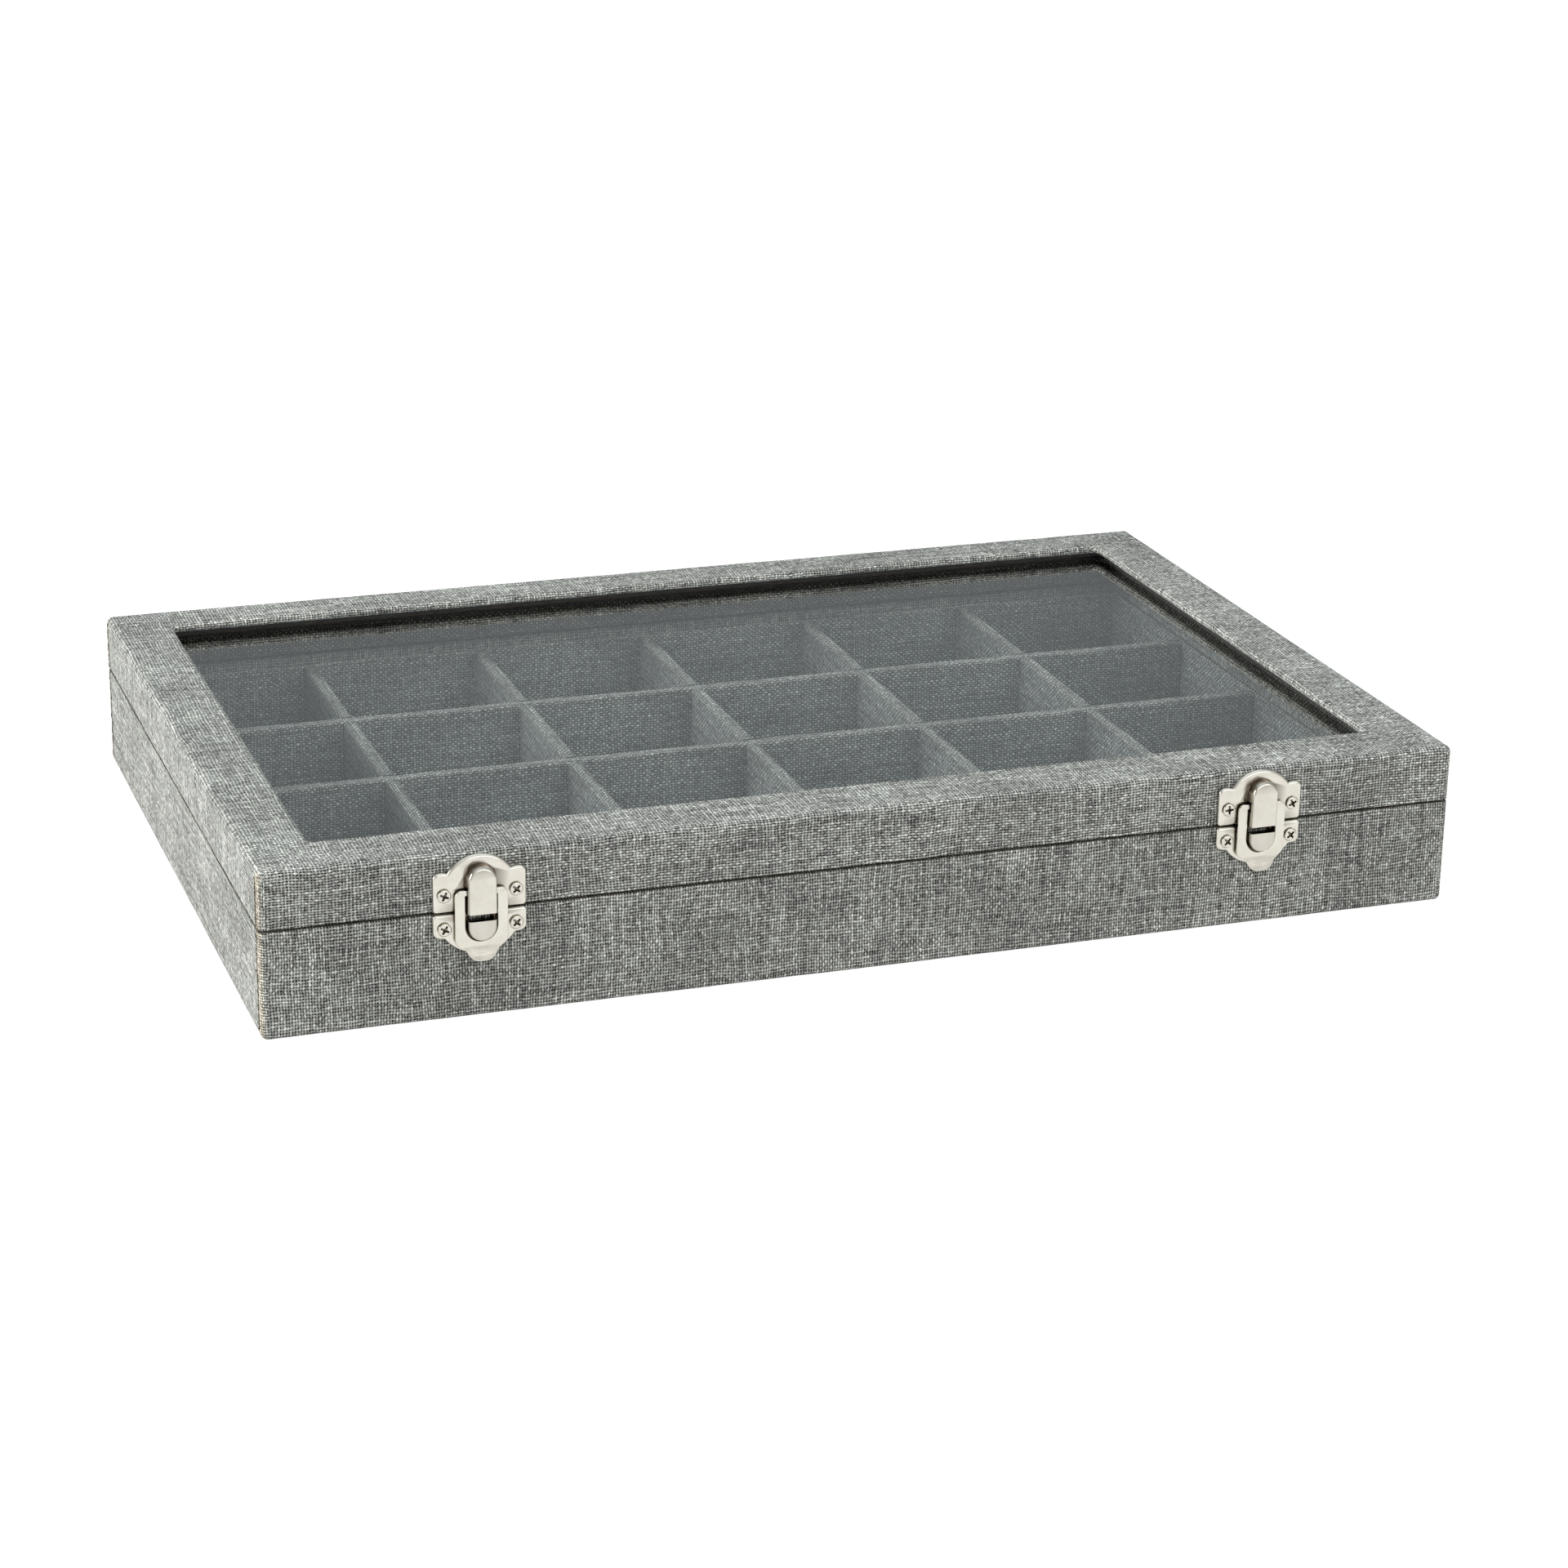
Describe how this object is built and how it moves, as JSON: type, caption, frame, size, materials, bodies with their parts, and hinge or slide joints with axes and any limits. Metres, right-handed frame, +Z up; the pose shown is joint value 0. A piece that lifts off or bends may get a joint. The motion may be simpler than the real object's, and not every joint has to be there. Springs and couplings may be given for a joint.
{
  "type": "glass-lidded sorting box",
  "caption": "Shallow linen-covered sorting box: gridded compartments under a hinged lid with a glass window, two snap latches on the front.",
  "frame": {"origin": "under the middle of the box, on the surface that it stands on", "axes": "+Z up; the latches' side faces -Y and the hinges' side +Y; +X runs along the length, to the right as seen from the latches"},
  "size_m": [0.35, 0.243, 0.0478],
  "materials": {
    "linen": "heather grey plain weave",
    "lining": "heather grey linen over card",
    "board": "raw fibreboard",
    "felt": "black felt",
    "glass": "clear float glass",
    "nickel": "polished warm nickel plate",
    "steel": "plain steel"
  },
  "bodies": {
    "base": {"bottom_felt": "felt", "bottom_board": "board", "base_front_board": "board", "base_back_board": "board", "base_left_board": "board", "base_right_board": "board", "base_wrap": "linen", "floor_lining": "lining", "front_lining": "lining", "back_lining": "lining", "left_lining": "lining", "right_lining": "lining", "long_divider_1": "lining", "long_divider_2": "lining", "long_divider_3": "lining", "cross_divider_1": "lining", "cross_divider_2": "lining", "cross_divider_3": "lining", "cross_divider_4": "lining", "cross_divider_5": "lining", "left_catch_plate": "nickel", "left_hinge_base_leaf": "nickel", "left_hinge_pin": "steel", "left_catch_plate_screw_1": "nickel", "left_base_leaf_screw_1": "nickel", "left_catch_plate_screw_2": "nickel", "left_base_leaf_screw_2": "nickel", "right_catch_plate": "nickel", "right_hinge_base_leaf": "nickel", "right_hinge_pin": "steel", "right_catch_plate_screw_1": "nickel", "right_base_leaf_screw_1": "nickel", "right_catch_plate_screw_2": "nickel", "right_base_leaf_screw_2": "nickel"},
    "lid": {"lid_front_board": "board", "lid_back_board": "board", "lid_left_board": "board", "lid_right_board": "board", "lid_top_panel": "board", "lid_wrap": "linen", "glass_spacer": "felt", "glass_pane": "glass", "glass_retainer": "lining", "left_latch_plate": "nickel", "left_latch_spring": "steel", "left_hinge_lid_leaf": "nickel", "left_latch_plate_screw_1": "nickel", "left_lid_leaf_screw_1": "nickel", "left_latch_plate_screw_2": "nickel", "left_lid_leaf_screw_2": "nickel", "right_latch_plate": "nickel", "right_latch_spring": "steel", "right_hinge_lid_leaf": "nickel", "right_latch_plate_screw_1": "nickel", "right_lid_leaf_screw_1": "nickel", "right_latch_plate_screw_2": "nickel", "right_lid_leaf_screw_2": "nickel"},
    "flap_left": {"left_latch_flap": "nickel"},
    "flap_right": {"right_latch_flap": "nickel"}
  },
  "joints": [
    {"name": "lid_hinge", "type": "hinge", "parent": "base", "child": "lid", "pos_m": [0, 0.1185, 0.03115], "axis": [-1, 0, 0], "range_deg": [0, 95]},
    {"name": "left_flap_hinge", "type": "hinge", "parent": "lid", "child": "flap_left", "pos_m": [-0.1155, -0.1191, 0.037], "axis": [-1, 0, 0], "range_deg": [0, 120]},
    {"name": "right_flap_hinge", "type": "hinge", "parent": "lid", "child": "flap_right", "pos_m": [0.1135, -0.1191, 0.037], "axis": [-1, 0, 0], "range_deg": [0, 120]}
  ]
}
